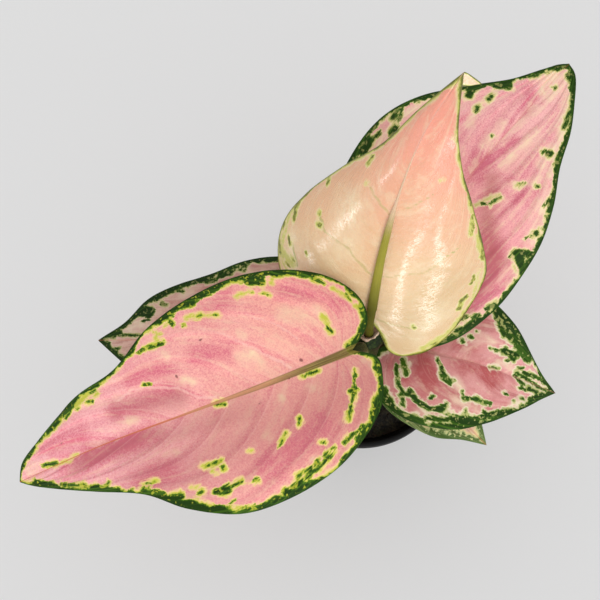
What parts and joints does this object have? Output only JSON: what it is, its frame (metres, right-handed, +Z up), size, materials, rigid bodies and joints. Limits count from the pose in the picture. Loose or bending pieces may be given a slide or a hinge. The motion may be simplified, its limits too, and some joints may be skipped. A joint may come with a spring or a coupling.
{
  "type": "potted foliage house plant",
  "caption": "Broad-leaved pink and green aglaonema house plant, growing from a short cane in a small black nursery pot.",
  "frame": {"origin": "middle of the pot's flat base, on the surface that it stands on", "axes": "+Z up; +X to the right and +Y to the back, as the plant is seen from the front and above"},
  "size_m": [0.2937, 0.2376, 0.2463],
  "materials": {
    "pot": "satin",
    "soil": "matte",
    "stem": "satin",
    "leaf_pink": "satin",
    "leaf_peach": "gloss",
    "leaf_dull_pink": "satin",
    "leaf_blotched": "satin",
    "leaf_pale": "satin"
  },
  "bodies": {
    "root": {"pot": "pot", "soil": "soil", "stem": "stem", "leaf_front_left": "leaf_pink", "leaf_young": "leaf_peach", "leaf_back_right": "leaf_pink", "leaf_back_left": "leaf_dull_pink", "leaf_front_right": "leaf_blotched", "leaf_small_low": "leaf_pale"}
  },
  "joints": []
}
